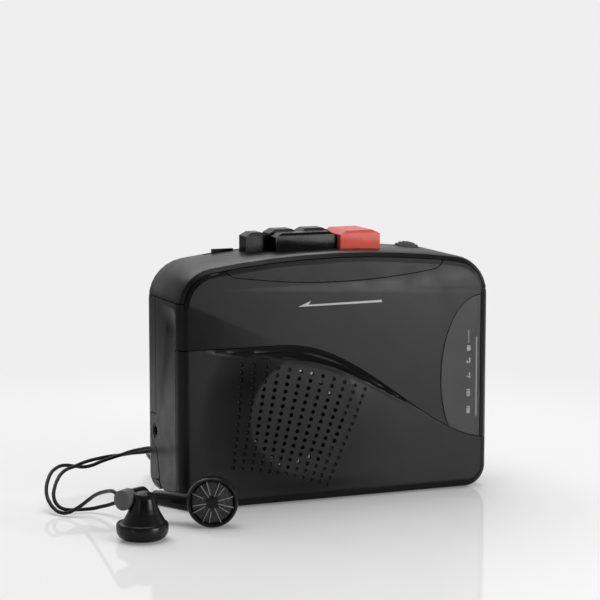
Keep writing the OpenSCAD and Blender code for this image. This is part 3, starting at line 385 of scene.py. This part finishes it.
def lay_cord(name, points, diameter, node):
    """One open cord along its points, with a round section."""
    curve = bpy.data.curves.new(name, "CURVE")
    curve.dimensions = "3D"
    line = curve.splines.new("BEZIER")
    line.bezier_points.add(len(points) - 1)
    for knot, p in zip(line.bezier_points, mm(points)):
        knot.co = p
        knot.handle_left_type = knot.handle_right_type = "AUTO"
    curve.resolution_u = curve.render_resolution_u = 5
    curve.bevel_depth = diameter / 2 * MM
    curve.bevel_resolution = 3
    curve.use_fill_caps = True
    obj = bpy.data.objects.new(name, curve)
    bpy.context.scene.collection.objects.link(obj)
    curve.materials.append(FINISH["cord"])
    return settle(obj, name, node)


def lay_earphone_cords():
    """Main cord from the plug through its coil to the splitter, and the two leads from there."""
    cx, cy, r = COIL
    near = cy - r - CORD_D / 2
    low = CORD_D / 2 + CLEAR
    from_splitter = [(19.5, near, low), (26, near, low), (33, near, low), (39, near, low)]
    up_from_coil = [(48.6, 32.2, 11.6)]
    main = from_splitter + coil_points() + up_from_coil + CORD_POINTS[::-1]
    cord = lay_cord("earphone_cord", main[::-1], CORD_D, "main_cord")
    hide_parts("cord_coil")
    left = lay_cord("left_earphone_lead", LEFT_POINTS, LEAD_D, "left_lead")
    right = lay_cord("right_earphone_lead", RIGHT_POINTS, LEAD_D, "right_lead")
    return cord, left, right


main_line, left_line, right_line = lay_earphone_cords()


# ---------------------------------------------------------------- cabinet and covers

FRONT_Y = -18.0
SEAM_Y = -13.65
HALF_W = 59.0
FOOT_R = 8.0
EDGE_R = 3.6
SEAM_GAP = 0.15
WALL = 1.3
FOOT_BAND = 4.6
# x, z and radius of the flat disc round the speaker, and of the ring that holds its open holes
DISC = (-13.5, 31.0, 20.6)
SPEAKER = (-16.5, 30.4, 17.0)
# the curved seam falls from its top over its run, and the crest below it rises and dies away
SEAM_TOP = 56.3
SEAM_FALL = 38.0
SEAM_BEND = -22
CREST_START = -52
RUN = 82
CREST_DROP = 4.9
CREST_RISE = 0.25
GUTTER = 0.85
# how far the speaker's swelling stands proud, and how far it reaches past the disc on the left
SWELL = 2.7
SWELL_REACH = 17.5


def ease(u):
    u = np.clip(u, 0, 1)
    return u * u * (3 - 2 * u)


def wave(x):
    """Height of the curved seam between the two front covers."""
    return SEAM_TOP - SEAM_FALL * ease(np.clip((x - SEAM_BEND) / RUN, 0, 1) ** 1.1)


def arch(x):
    """Nought at both ends of the crest and one at its middle."""
    return np.sin(np.pi * np.clip((x - CREST_START) / RUN, 0, 1))


def ridge(x):
    """Height of the crest that runs under the seam."""
    return wave(x) - CREST_DROP * arch(x) ** 0.8


def foot_height(x):
    """Height of the lower outline."""
    over = np.clip(np.abs(x) - (HALF_W - FOOT_R), 0, FOOT_R)
    return FOOT_R - np.sqrt(np.maximum(FOOT_R ** 2 - over ** 2, 0))


def inside(x, z):
    """Distance inwards from the outline."""
    cx, cz = np.abs(x) - (HALF_W - FOOT_R), FOOT_R - z
    corner = FOOT_R - np.hypot(np.maximum(cx, 0), np.maximum(cz, 0))
    plain = np.minimum(HALF_W - np.abs(x), z)
    return np.maximum(np.where((cx > 0) & (cz > 0), corner, plain), 0)


def swelling(x, z):
    """How far the cover stands proud: flat on the disc, falling away round it, less towards the foot."""
    past_disc = np.maximum(np.hypot(x - DISC[0], z - DISC[1]) - DISC[2], 0)
    reach = SWELL_REACH + 12 * ease((x + 25) / 30)
    fall = (1 - np.clip(past_disc / reach, 0, 1)) ** 1.7
    return SWELL * fall * ease(z / 9) * (0.4 + 0.6 * ease((z - 4) / 40))


def relief(x, z):
    """Depth of the lower cover's front below its flat: swelling, crest and the gutter under the seam."""
    below = ridge(x) - z
    fade = arch(x) ** 0.7
    between = np.clip((wave(x) - z) / np.maximum(wave(x) - ridge(x), 0.4), 0, 1)
    gutter = GUTTER * fade * np.sin(np.pi * np.clip((between - 0.06) / 0.8, 0, 1)) ** 1.5 * (below < 0)
    crest = CREST_RISE * fade * np.exp(-(below / 0.75) ** 2)
    return gutter - crest - swelling(x, z) * ease((between - 0.5) / 0.5)


def face_y(x, z):
    """Place of the cover's front: its flat, the rounding at the outline, and the relief."""
    d = np.minimum(inside(x, z), EDGE_R)
    rounding = EDGE_R - np.sqrt(np.maximum(EDGE_R ** 2 - (EDGE_R - d) ** 2, 0))
    return FRONT_Y + rounding + relief(x, z)


def speaker_holes():
    """Centres of the speaker holes: rows on arcs about a far point, columns as its spokes."""
    fan_x, fan_z = -50.3, -104.1
    for row in range(15):
        for column in range(12):
            r, a = 118.9 + 2.6 * row, math.radians(5.05 + 1.59 * column)
            x, z = fan_x + r * math.sin(a), fan_z + r * math.cos(a)
            yield x, z, math.hypot(x - SPEAKER[0], z - SPEAKER[1]) < SPEAKER[2] + 0.5


def hole_cutters():
    """Drills for the open holes and ball tips for the blind ones, as one mesh."""
    made = []
    for x, z, is_open in speaker_holes():
        y = float(face_y(np.array(x), np.array(z)))
        if is_open:
            bpy.ops.mesh.primitive_cylinder_add(vertices=16, radius=0.76 * MM, depth=7 * MM,
                                                location=(x * MM, (y + 1.5) * MM, z * MM),
                                                rotation=(math.pi / 2, 0, 0))
        else:
            bpy.ops.mesh.primitive_uv_sphere_add(segments=14, ring_count=8, radius=0.8 * MM,
                                                 location=(x * MM, (y - 0.28) * MM, z * MM))
        made.append(bpy.context.object)
    cutters = join(made)
    bpy.ops.object.transform_apply(location=True, rotation=True, scale=True)
    return cutters


def steps(start, stops):
    """Values from start through (end, spacing) pairs."""
    values = [start]
    for end, gap in stops:
        count = max(1, round(abs(end - values[-1]) / gap))
        values += list(np.linspace(values[-1], end, count + 1)[1:])
    return np.array(values)


def make_lower_cover():
    """The lower front cover: a fine sheet bent to its form, given walls and drilled for the speaker."""
    xs = steps(-HALF_W, [(-51, 0.4), (-36, 0.8), (26, 0.62), (51, 0.8), (HALF_W, 0.4)])
    low = steps(0, [(FOOT_BAND, 0.38)])
    up = steps(0, [(1, 1 / 76)])[1:]
    rows = len(low) + len(up)
    bpy.ops.mesh.primitive_grid_add(x_subdivisions=len(xs) - 1, y_subdivisions=rows - 1, size=2)
    cover = bpy.context.object
    foot, top = foot_height(xs), wave(xs) - SEAM_GAP
    foot_band = foot[None] + low[:, None]
    above = foot[None] + FOOT_BAND + up[:, None] * (top - foot - FOOT_BAND)[None]
    heights = np.concatenate([foot_band, above])
    places = np.zeros((rows * len(xs), 3))
    places[:, 0] = np.tile(xs, rows)
    places[:, 2] = heights.ravel()
    places[:, 1] = face_y(places[:, 0], places[:, 2])
    cover.data.vertices.foreach_set("co", (places * MM).ravel())
    cover.data.update()
    pick(cover)
    bpy.ops.object.mode_set(mode="EDIT")
    bpy.ops.mesh.select_all(action="SELECT")
    bpy.ops.mesh.normals_make_consistent(inside=False)
    bpy.ops.object.mode_set(mode="OBJECT")
    if cover.data.polygons[len(cover.data.polygons) // 2].normal.y > 0:
        bpy.ops.object.mode_set(mode="EDIT")
        bpy.ops.mesh.flip_normals()
        bpy.ops.object.mode_set(mode="OBJECT")
    # side walls back to the seam
    mesh = bmesh.new()
    mesh.from_mesh(cover.data)
    rim = [edge for edge in mesh.edges if edge.is_boundary
           and max(inside(v.co.x / MM, v.co.z / MM) for v in edge.verts) < 0.01]
    for v in bmesh.ops.extrude_edge_only(mesh, edges=rim)["geom"]:
        if isinstance(v, bmesh.types.BMVert):
            v.co.y = (SEAM_Y - SEAM_GAP) * MM
    mesh.to_mesh(cover.data)
    mesh.free()
    wall = cover.modifiers.new("wall", "SOLIDIFY")
    wall.thickness = WALL * MM
    wall.offset = -1
    bpy.ops.object.modifier_apply(modifier=wall.name)
    cutters = hole_cutters()
    pick(cover)
    drill = cover.modifiers.new("holes", "BOOLEAN")
    drill.operation = "DIFFERENCE"
    drill.solver = "EXACT"
    drill.object = cutters
    bpy.ops.object.modifier_apply(modifier=drill.name)
    bpy.data.objects.remove(cutters)
    smooth(cover, 38)
    paint(cover, FINISH["shell"])
    return settle(cover, "lower_cover", "front_shell")


make_lower_cover()

for node in ("front_panel", "brow_trim", "top_cover", "center_frame", "cassette_door",
             "stop_eject_key", "rewind_key", "fast_forward_key", "play_key", "record_key",
             "volume_wheel", "function_knob", "tuning_wheel", "headphone_plug", "cord_splitter",
             "dial_lens", "dial_plate", "door_window"):
    skin(node)


# ---------------------------------------------------------------- earphones

# middle of the left earbud, which lies on its screen
LEFT_BUD = (-82.5, -48.0)
STEM_HEIGHT = 13.1
# middle of the right earbud's screen, and the turn of its face towards the left
RIGHT_FACE = (-56.5, -43.3, 8.8)
FACING = -22.0


def turned(name, profile, sides=56):
    """A closed piece turned from rings of (radius, height), both ends filled."""
    deselect()
    bpy.ops.mesh.primitive_circle_add(vertices=sides, radius=profile[0][0] * MM, location=(0, 0, 0))
    piece = bpy.context.object
    piece.name = name
    bpy.ops.object.mode_set(mode="EDIT")
    bpy.ops.mesh.select_all(action="SELECT")
    bpy.ops.transform.translate(value=(0, 0, profile[0][1] * MM))
    for (r0, z0), (r1, z1) in zip(profile, profile[1:]):
        bpy.ops.mesh.extrude_region_move(TRANSFORM_OT_translate={"value": (0, 0, (z1 - z0) * MM)})
        bpy.ops.transform.resize(value=(r1 / r0, r1 / r0, 1))
    bpy.ops.mesh.select_all(action="SELECT")
    bpy.ops.mesh.fill_holes(sides=0)
    bpy.ops.mesh.select_all(action="SELECT")
    bpy.ops.mesh.normals_make_consistent(inside=False)
    bpy.ops.object.mode_set(mode="OBJECT")
    return piece


def place(piece, at, turn=(0, 0, 0)):
    """Moves and turns a piece, then leaves its object at the origin."""
    pick(piece)
    piece.rotation_euler = [math.radians(a) for a in turn]
    piece.location = [c * MM for c in at]
    bpy.ops.object.transform_apply(location=True, rotation=True, scale=True)
    return piece


def rod(name, start, end, r0, r1, dome):
    """A tapered barrel with rounded ends between two points."""
    a, b = Vector(start), Vector(end)
    length = (b - a).length
    profile = [(r0 * 0.5, 0), (r0 * 0.82, dome * 0.25), (r0, dome), (r1, length - dome),
               (r1 * 0.82, length - dome * 0.25), (r1 * 0.5, length)]
    piece = turned(name, profile, 40)
    piece.rotation_euler = (b - a).to_track_quat("Z", "Y").to_euler()
    piece.location = a * MM
    pick(piece)
    bpy.ops.object.transform_apply(location=True, rotation=True, scale=True)
    return piece


def melt(name, pieces):
    """Joins overlapping solids into one skin and blends where they meet."""
    body = join(pieces)
    body.name = name
    mesh = body.modifiers.new("one_skin", "REMESH")
    mesh.mode = "VOXEL"
    mesh.voxel_size = 0.26 * MM
    bpy.ops.object.modifier_apply(modifier=mesh.name)
    blend = body.modifiers.new("blended", "SMOOTH")
    blend.factor = 0.5
    blend.iterations = 6
    bpy.ops.object.modifier_apply(modifier=blend.name)
    bpy.ops.object.shade_smooth()
    return body


def make_left_earbud():
    """Dish on the table, flared neck with the stem through its top, and the cap of the stem, whose light grey is a
    painted highlight.
    """
    x, y = LEFT_BUD
    dish_rings = [(4.6, 0.0), (6.6, 0.35), (7.8, 1.2), (8.45, 2.4), (8.62, 3.8), (8.6, 5.1), (8.3, 5.6),
                  (7.9, 5.75), (7.7, 5.5), (7.2, 5.6)]
    dish = place(turned("dish", dish_rings), (x, y, 0))
    smooth(dish, 50)
    paint(dish, FINISH["bud"])
    flare_rings = [(7.5, 5.0), (7.1, 5.9), (6.3, 7.3), (5.4, 8.9), (4.7, 10.6), (4.2, 12.4), (3.9, 13.8),
                   (3.2, 15.0), (1.8, 15.7)]
    flare = place(turned("flare", flare_rings), (x + 0.7, y + 0.4, 0))
    trunk = rod("trunk", (x - 5.0, y + 2.5, STEM_HEIGHT), (x + 3.6, y + 7.9, STEM_HEIGHT), 3.1, 2.9, 1.0)
    neck = melt("left_earbud_neck", [flare, trunk])
    paint(neck, FINISH["bud"])
    cap = rod("cap", (x - 6.9, y + 1.3, STEM_HEIGHT), (x - 2.9, y + 3.9, STEM_HEIGHT), 3.35, 3.5, 0.5)
    smooth(cap, 40)
    # light grey on the cap: a painted highlight of its lit end
    paint(cap, FINISH["bud_cap"])
    settle(dish, "left_earbud_dish", "left_earbud")
    settle(neck, "left_earbud_neck", "left_earbud")
    settle(cap, "left_earbud_cap", "left_earbud")
    return dish, neck, cap


def make_spoke(k):
    """One raised bar of the right earbud's front; lengths, widths and angles vary a little."""
    angle = 9 + 27.7 * k + (4, -5, 2, 6, -3)[k % 5]
    inner, outer = (1.5, 2.6, 1.5, 3.2)[k % 4], (7.35, 6.6, 7.35, 7.0, 7.35)[k % 5]
    deselect()
    bpy.ops.mesh.primitive_cube_add(size=1)
    bar = bpy.context.object
    bar.scale = ((outer - inner) * MM, (0.34, 0.26, 0.3)[k % 3] * MM, 0.8 * MM)
    bar.location = ((outer + inner) / 2 * MM, 0, 0.7 * MM)
    bpy.ops.object.transform_apply(location=True, rotation=False, scale=True)
    round_off = bar.modifiers.new("rounded", "BEVEL")
    round_off.width = 0.09 * MM
    round_off.segments = 2
    bpy.ops.object.modifier_apply(modifier=round_off.name)
    bar.rotation_euler = (0, 0, math.radians(angle))
    bpy.ops.object.transform_apply(location=False, rotation=True, scale=False)
    return bar


def make_right_earbud():
    """Turned shell on its stem, with a cloth screen, a hub and thirteen spokes in its open front."""
    face = Vector(RIGHT_FACE)
    back = Vector((-math.sin(math.radians(FACING)), math.cos(math.radians(FACING)), 0))
    turn = (-90, 0, FACING)
    shell_rings = [(7.3, 1.5), (7.45, 0.5), (7.75, 0.12), (8.15, 0.12), (8.5, 0.6), (8.66, 1.6),
                   (8.66, 3.4), (8.4, 4.8), (7.6, 5.9), (6.4, 6.9), (5.2, 8.2), (4.3, 9.8), (3.6, 11.0), (2.0, 11.8)]
    shell = place(turned("shell", shell_rings, 72), face, turn)
    smooth(shell, 50)
    paint(shell, FINISH["bud"])
    near = face + back * 6.4 + Vector((-3.4, 0.6, -1.4))
    trunk = rod("trunk", (-71.6, -25.2, 8.3), near, 2.55, 3.5, 0.9)
    smooth(trunk, 50)
    paint(trunk, FINISH["bud"])
    screen_rings = [(7.4, 1.1), (6.6, 0.95), (4.4, 0.7), (2.0, 0.58), (0.3, 0.55)]
    screen = place(turned("screen", screen_rings, 48), face, turn)
    pick(screen)
    bpy.ops.object.shade_smooth()
    paint(screen, FINISH["bud_mesh"])
    hub = place(turned("hub", [(2.3, 0.8), (2.2, 0.35), (1.5, 0.2), (0.3, 0.18)], 32), face, turn)
    smooth(hub, 50)
    paint(hub, FINISH["bud"])
    spokes = place(join([make_spoke(k) for k in range(13)]), face, turn)
    smooth(spokes, 40)
    # raised spoke bars, painted light grey as glints
    paint(spokes, FINISH["bud_spoke"])
    settle(shell, "right_earbud_shell", "right_earbud")
    settle(trunk, "right_earbud_trunk", "right_earbud")
    settle(screen, "right_earbud_screen", "right_earbud")
    settle(spokes, "right_earbud_spokes", "right_earbud")
    settle(hub, "right_earbud_hub", "right_earbud")
    return shell, trunk, screen, spokes, hub


left_bud = make_left_earbud()
right_bud = make_right_earbud()


# ---------------------------------------------------------------- printing

INK = 0.03
ARROW = [(-15.2, 69.5), (16.5, 69.6), (16.5, 70.4), (-11.4, 70.1), (-10.5, 71.4)]
SCALE_X = 50.75
SCALE_NUMBERS = (("88", 51.2), ("92", 46.7), ("97", 41.3), ("103", 35.1), ("108", 28.9))
NUMBER_SIZE = 1.95
LINE = [(53.75, 26.2), (54.2, 26.2), (54.2, 55.2), (53.75, 55.2)]


def print_on(obj, name, node, tone):
    """Gives a flat form the thickness of an ink layer and lets it ride with its cover."""
    pick(obj)
    layer = obj.modifiers.new("ink_layer", "SOLIDIFY")
    layer.thickness = INK * MM
    layer.offset = 0
    bpy.ops.object.modifier_apply(modifier=layer.name)
    paint(obj, FINISH[tone])
    obj.name = name
    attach(obj, BODY_OF[node])
    return obj


def flat_outline(points, y):
    """A filled outline in an upright plane."""
    deselect()
    bpy.ops.mesh.primitive_circle_add(vertices=len(points), radius=MM, fill_type="NGON")
    outline = bpy.context.object
    for vertex, (x, z) in zip(outline.data.vertices, points):
        vertex.co = (x * MM, y * MM, z * MM)
    return outline


def print_arrow():
    """Plain arrow on the front panel, pointing left."""
    return print_on(flat_outline(ARROW, FRONT_Y - INK / 2), "printed_arrow", "front_panel", "ink")


def print_number(number, y, z):
    """One number of the scale, turned to read downwards."""
    deselect()
    bpy.ops.object.text_add(location=(SCALE_X * MM, y * MM, z * MM),
                            rotation=(math.pi / 2, math.pi / 2, 0))
    label = bpy.context.object
    label.data.body = number
    label.data.size = NUMBER_SIZE * MM
    label.data.align_x = "CENTER"
    label.data.align_y = "CENTER"
    label.data.offset = 0.06 * MM
    bpy.ops.object.convert(target="MESH")
    return bpy.context.object


def print_dot(y, z):
    """One dot of the row above the numbers."""
    deselect()
    bpy.ops.mesh.primitive_circle_add(vertices=12, radius=0.2 * MM, fill_type="NGON",
                                      rotation=(math.pi / 2, 0, 0),
                                      location=(SCALE_X * MM, y * MM, z * MM))
    return bpy.context.object


def print_dial():
    """Tuning scale: a row of dots, plain numbers and a faint line beside them."""
    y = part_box("dial_lens")[0][1] / MM - INK / 2
    marks = [print_number(number, y, z) for number, z in SCALE_NUMBERS]
    marks += [print_dot(y, 57.4 - 0.8 * k) for k in range(6)]
    scale = join(marks)
    bpy.ops.object.transform_apply(location=True, rotation=True, scale=True)
    print_on(scale, "printed_scale", "dial_lens", "ink")
    print_on(flat_outline(LINE, y), "printed_line", "dial_lens", "faint_ink")


print_arrow()
print_dial()


# ---------------------------------------------------------------- studio

BACKDROP = 0.863
# the table's colour under the player and past its edge, and what is added to it for the eye
TABLE = 0.86
PAST_TABLE = 0.15
LIFT = 0.12
TABLE_GLOSS = 0.17
# light that the room gives from each side and from above
ROOM = {"front_left": 0.0, "front_right": 0.0, "rear_left": 0.6, "rear_right": 0.85, "sky": 0.31}
# name, place, size and power
LAMPS = [
    ("key_softbox", (0.642, -0.765, 0.097), (0.3, 0.3), 1.75),
    ("fill_softbox", (0.499, -0.865, 0.097), (0.3, 0.3), 0.75),
    ("near_softbox", (0.22, -0.42, 0.12), (0.2, 0.2), 0.77),
    ("side_strip", (-0.75, -0.42, 0.15), (0.15, 0.5), 0.4),
    ("overhead_softbox", (0, 0.1, 1.25), (0.9, 0.9), 6.1),
    ("rear_softbox", (0, 0.6, 0.7), (0.8, 0.5), 3.1),
]


def lay_floor():
    """White acrylic table: real shading near the player, an even pale backdrop further away."""
    bpy.ops.mesh.primitive_plane_add(size=30, location=(0, 0, -0.0001))
    floor = bpy.context.object
    floor.name = "studio_floor"
    n = Nodes("white_acrylic")
    reach = n.add("ShaderNodeVectorMath", operation="LENGTH")
    n.link(n.coords.outputs["Object"], reach.inputs[0])
    tone = n.ramp(reach.outputs["Value"], (TABLE,) * 3, (PAST_TABLE,) * 3, start=0.26, end=0.45)
    base = n.add("ShaderNodeBsdfDiffuse")
    n.link(tone, base.inputs["Color"])
    gloss = n.add("ShaderNodeBsdfGlossy")
    gloss.inputs["Roughness"].default_value = 0.05
    gloss.inputs["Color"].default_value = (1, 1, 1, 1)
    near = n.add("ShaderNodeMixShader")
    near.inputs["Fac"].default_value = TABLE_GLOSS
    n.link(base.outputs["BSDF"], near.inputs[1])
    n.link(gloss.outputs["BSDF"], near.inputs[2])
    far = n.add("ShaderNodeEmission")
    far.inputs["Color"].default_value = (BACKDROP, BACKDROP, BACKDROP, 1)
    fade = n.add("ShaderNodeMapRange", interpolation_type="SMOOTHSTEP")
    fade.inputs["From Min"].default_value = 0.15
    fade.inputs["From Max"].default_value = 0.3
    n.link(reach.outputs["Value"], fade.inputs["Value"])
    path = n.add("ShaderNodeLightPath")
    seen = n.add("ShaderNodeMath", operation="MULTIPLY")
    n.link(fade.outputs["Result"], seen.inputs[0])
    n.link(path.outputs["Is Camera Ray"], seen.inputs[1])
    glow = n.add("ShaderNodeEmission")
    n.link(path.outputs["Is Camera Ray"], glow.inputs["Strength"])
    glow.inputs["Color"].default_value = (LIFT, LIFT, LIFT, 1)
    lifted = n.add("ShaderNodeAddShader")
    n.link(near.outputs["Shader"], lifted.inputs[0])
    n.link(glow.outputs["Emission"], lifted.inputs[1])
    mix = n.add("ShaderNodeMixShader")
    n.link(seen.outputs[0], mix.inputs["Fac"])
    n.link(lifted.outputs["Shader"], mix.inputs[1])
    n.link(far.outputs["Emission"], mix.inputs[2])
    n.link(mix.outputs["Shader"], n.out.inputs["Surface"])
    paint(floor, n.material)


def fill_world():
    """Pale and even to the eye; as light, a room whose brightness changes slowly with direction."""
    world = bpy.data.worlds.new("studio")
    bpy.context.scene.world = world
    world.use_nodes = True
    tree = world.node_tree
    tree.nodes.clear()

    def add(kind, **settings):
        node = tree.nodes.new(kind)
        for key, value in settings.items():
            setattr(node, key, value)
        return node

    axes = add("ShaderNodeSeparateXYZ")
    tree.links.new(add("ShaderNodeTexCoord").outputs["Generated"], axes.inputs[0])

    def turn(axis, start, end):
        node = add("ShaderNodeMapRange", interpolation_type="SMOOTHSTEP")
        node.inputs["From Min"].default_value = start
        node.inputs["From Max"].default_value = end
        tree.links.new(axes.outputs[axis], node.inputs["Value"])
        return node.outputs["Result"]

    def blend(share, a, b):
        node = add("ShaderNodeMix", data_type="FLOAT")
        tree.links.new(share, node.inputs["Factor"])
        for socket, value in ((node.inputs["A"], a), (node.inputs["B"], b)):
            if isinstance(value, float):
                socket.default_value = value
            else:
                tree.links.new(value, socket)
        return node.outputs["Result"]

    right, rear, high = turn("X", -0.5, 0.3), turn("Y", -0.6, 0.1), turn("Z", 0.25, 0.85)
    front = blend(right, ROOM["front_left"], ROOM["front_right"])
    back = blend(right, ROOM["rear_left"], ROOM["rear_right"])
    level = blend(high, blend(rear, front, back), ROOM["sky"])
    light, seen = add("ShaderNodeBackground"), add("ShaderNodeBackground")
    tree.links.new(level, light.inputs["Strength"])
    seen.inputs["Color"].default_value = (BACKDROP, BACKDROP, BACKDROP, 1)
    mix = add("ShaderNodeMixShader")
    tree.links.new(add("ShaderNodeLightPath").outputs["Is Camera Ray"], mix.inputs["Fac"])
    tree.links.new(light.outputs[0], mix.inputs[1])
    tree.links.new(seen.outputs[0], mix.inputs[2])
    tree.links.new(mix.outputs[0], add("ShaderNodeOutputWorld").inputs["Surface"])


def hang_lamp(name, place, size, power):
    """An area lamp that faces the player and isn't seen itself."""
    aim = Vector((0, 0, 0.045))
    bpy.ops.object.light_add(type="AREA", location=place)
    lamp = bpy.context.object
    lamp.name = name
    lamp.data.shape = "RECTANGLE"
    lamp.data.size, lamp.data.size_y = size
    lamp.data.energy = power
    lamp.visible_camera = False
    lamp.rotation_euler = (aim - Vector(place)).to_track_quat("-Z", "Y").to_euler()


lay_floor()
fill_world()
for lamp in LAMPS:
    hang_lamp(*lamp)

bpy.context.scene.view_settings.view_transform = "Standard"
